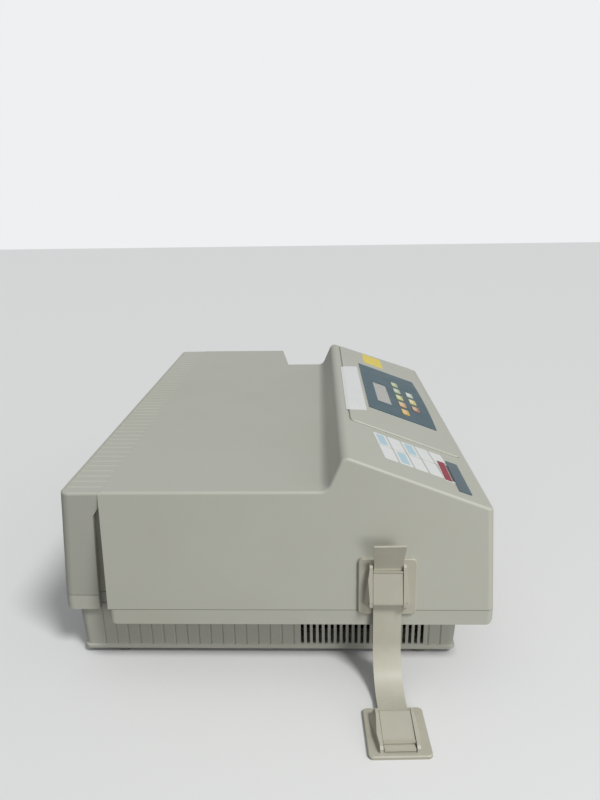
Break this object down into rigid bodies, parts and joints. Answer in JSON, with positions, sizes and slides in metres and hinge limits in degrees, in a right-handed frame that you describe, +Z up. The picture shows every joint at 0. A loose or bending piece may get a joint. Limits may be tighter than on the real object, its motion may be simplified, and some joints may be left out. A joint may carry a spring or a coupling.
{
  "type": "microplate reader",
  "caption": "Benchtop microplate reader: low wide case with sloped keypad console, plate drawer in a side bay, finned base, rear ports and a bench strap with lever buckles.",
  "frame": {"origin": "on the bench, under the middle of the whole object's bounding box, bench strap included", "axes": "+X to the operator's right, +Y to the rear, +Z up; the keypad console faces -Y and the plate drawer comes out along +X"},
  "size_m": [0.679, 0.394, 0.2116],
  "materials": {
    "case_plastic": "fine moulded texture",
    "console_plastic": "satin",
    "overlay_film": "satin film",
    "display_window": "clear",
    "display_body": "matte",
    "circuit_board": "solder mask",
    "badge": "satin",
    "key_green": "satin",
    "key_lime": "satin",
    "key_tan": "satin",
    "key_amber": "satin",
    "key_white": "satin",
    "key_cream": "satin",
    "key_rose": "satin",
    "foot_rubber": "matte",
    "bright_steel": "ground",
    "tray_plastic": "matte",
    "machined_alloy": "milled",
    "bronze": "turned",
    "belt_rubber": "matte",
    "motor_paint": "satin",
    "black_metal": "anodised black",
    "lens_glass": "clear",
    "sensor_can": "polished",
    "grating_glass": "ruled",
    "guide_sheath": "matte",
    "sheet_steel": "zinc plated",
    "rear_paint": "satin",
    "black_plastic": "satin",
    "port_metal": "plated",
    "strap_web": "fine cross ribs",
    "buckle_plastic": "satin"
  },
  "bodies": {
    "case": {"top_cover": "case_plastic", "base_tray": "case_plastic", "console_panel": "console_plastic", "keypad_overlay": "overlay_film", "lcd_window": "display_window", "lcd_module": "display_body", "key_board": "circuit_board", "main_board": "circuit_board", "detector_board": "circuit_board", "nameplate": "badge", "feet": "foot_rubber", "case_screws": "bright_steel", "guide_rods": "bright_steel", "drawer_carrier": "machined_alloy", "drive_belt": "belt_rubber", "drawer_motor": "motor_paint", "optics_head": "black_metal", "mono_box": "black_metal", "mono_lid": "black_metal", "lamp_housing": "black_metal", "lenses": "lens_glass", "flash_lamp": "lens_glass", "photodiodes": "sensor_can", "light_guide": "guide_sheath", "chassis": "sheet_steel", "power_supply": "sheet_steel", "rear_panel": "rear_paint", "power_inlet": "black_plastic", "switch_frame": "black_plastic", "fan_frame": "black_plastic", "serial_port": "port_metal", "printer_port": "port_metal", "strap": "strap_web", "upper_buckle": "buckle_plastic", "lower_buckle": "buckle_plastic"},
    "drawer": {"drawer_tray": "tray_plastic", "drawer_front": "case_plastic", "slide_block": "machined_alloy", "slide_bushes": "bronze"},
    "plate_pusher": {"plate_pusher": "tray_plastic"},
    "drive_pulley": {"drive_pulley": "machined_alloy", "motor_shaft": "bright_steel"},
    "idler_pulley": {"idler_pulley": "machined_alloy"},
    "grating_turret": {"grating_mount": "black_metal", "grating": "grating_glass"},
    "filter_wheel": {"filter_wheel": "machined_alloy"},
    "fan_rotor": {"fan_rotor": "black_plastic"},
    "power_rocker": {"power_rocker": "black_plastic"},
    "fuse_drawer": {"fuse_drawer": "black_plastic"},
    "upper_lever": {"upper_lever": "buckle_plastic"},
    "lower_lever": {"lower_lever": "buckle_plastic"},
    "key_1": {"key_1": "key_green"},
    "key_2": {"key_2": "key_green"},
    "key_3": {"key_3": "key_lime"},
    "key_4": {"key_4": "key_tan"},
    "key_5": {"key_5": "key_amber"},
    "key_6": {"key_6": "key_white"},
    "key_7": {"key_7": "key_cream"},
    "key_8": {"key_8": "key_rose"}
  },
  "joints": [
    {"name": "drawer_slide", "type": "slide", "parent": "case", "child": "drawer", "axis": [1, 0, 0], "range_m": [-0.1, 0.139]},
    {"name": "pusher_hinge", "type": "hinge", "parent": "drawer", "child": "plate_pusher", "pos_m": [0.09464, -0.07646, 0.091], "axis": [0, 0, 1], "range_deg": [-12, 0], "stiffness_Nm_per_rad": 0.01},
    {"name": "motor_spin", "type": "hinge", "parent": "case", "child": "drive_pulley", "pos_m": [-0.06336, -0.04316, 0.09], "axis": [0, 0, 1], "range_deg": [-690, 960]},
    {"name": "idler_spin", "type": "hinge", "parent": "case", "child": "idler_pulley", "pos_m": [0.2195, -0.04316, 0.09], "axis": [0, 0, 1], "range_deg": [-690, 960]},
    {"name": "grating_turn", "type": "hinge", "parent": "case", "child": "grating_turret", "pos_m": [-0.1155, 0.049, 0.045], "axis": [0, 0, 1], "range_deg": [-20, 20]},
    {"name": "wheel_turn", "type": "hinge", "parent": "case", "child": "filter_wheel", "pos_m": [-0.0345, 0.047, 0.063], "axis": [1, 0, 0], "continuous": true},
    {"name": "fan_spin", "type": "hinge", "parent": "case", "child": "fan_rotor", "pos_m": [-0.1205, 0.171, 0.125], "axis": [0, 1, 0], "continuous": true},
    {"name": "power_switch", "type": "hinge", "parent": "case", "child": "power_rocker", "pos_m": [0.1675, 0.175, 0.112], "axis": [1, 0, 0], "range_deg": [-16, 0]},
    {"name": "fuse_pull", "type": "slide", "parent": "case", "child": "fuse_drawer", "axis": [0, 1, 0], "range_m": [0, 0.016]},
    {"name": "upper_lever_hinge", "type": "hinge", "parent": "case", "child": "upper_lever", "pos_m": [-0.24988, -0.1015, 0.08251], "axis": [0, -1, 0], "range_deg": [0, 60]},
    {"name": "lower_lever_hinge", "type": "hinge", "parent": "case", "child": "lower_lever", "pos_m": [-0.30062, -0.1036, 0.00985], "axis": [-0.0349, 0.9994, 0], "range_deg": [0, 60]},
    {"name": "key_1_press", "type": "slide", "parent": "case", "child": "key_1", "axis": [0, 0.3539, -0.9353], "range_m": [0, 0.0007], "stiffness_N_per_m": 600},
    {"name": "key_2_press", "type": "slide", "parent": "case", "child": "key_2", "axis": [0, 0.3539, -0.9353], "range_m": [0, 0.0007], "stiffness_N_per_m": 600},
    {"name": "key_3_press", "type": "slide", "parent": "case", "child": "key_3", "axis": [0, 0.3539, -0.9353], "range_m": [0, 0.0007], "stiffness_N_per_m": 600},
    {"name": "key_4_press", "type": "slide", "parent": "case", "child": "key_4", "axis": [0, 0.3539, -0.9353], "range_m": [0, 0.0007], "stiffness_N_per_m": 600},
    {"name": "key_5_press", "type": "slide", "parent": "case", "child": "key_5", "axis": [0, 0.3539, -0.9353], "range_m": [0, 0.0007], "stiffness_N_per_m": 600},
    {"name": "key_6_press", "type": "slide", "parent": "case", "child": "key_6", "axis": [0, 0.3539, -0.9353], "range_m": [0, 0.0007], "stiffness_N_per_m": 600},
    {"name": "key_7_press", "type": "slide", "parent": "case", "child": "key_7", "axis": [0, 0.3539, -0.9353], "range_m": [0, 0.0007], "stiffness_N_per_m": 600},
    {"name": "key_8_press", "type": "slide", "parent": "case", "child": "key_8", "axis": [0, 0.3539, -0.9353], "range_m": [0, 0.0007], "stiffness_N_per_m": 600}
  ],
  "couplings": [
    {"joint": "motor_spin", "follows": "drawer_slide", "rad_per_m": 120},
    {"joint": "idler_spin", "follows": "drawer_slide", "rad_per_m": 120}
  ]
}
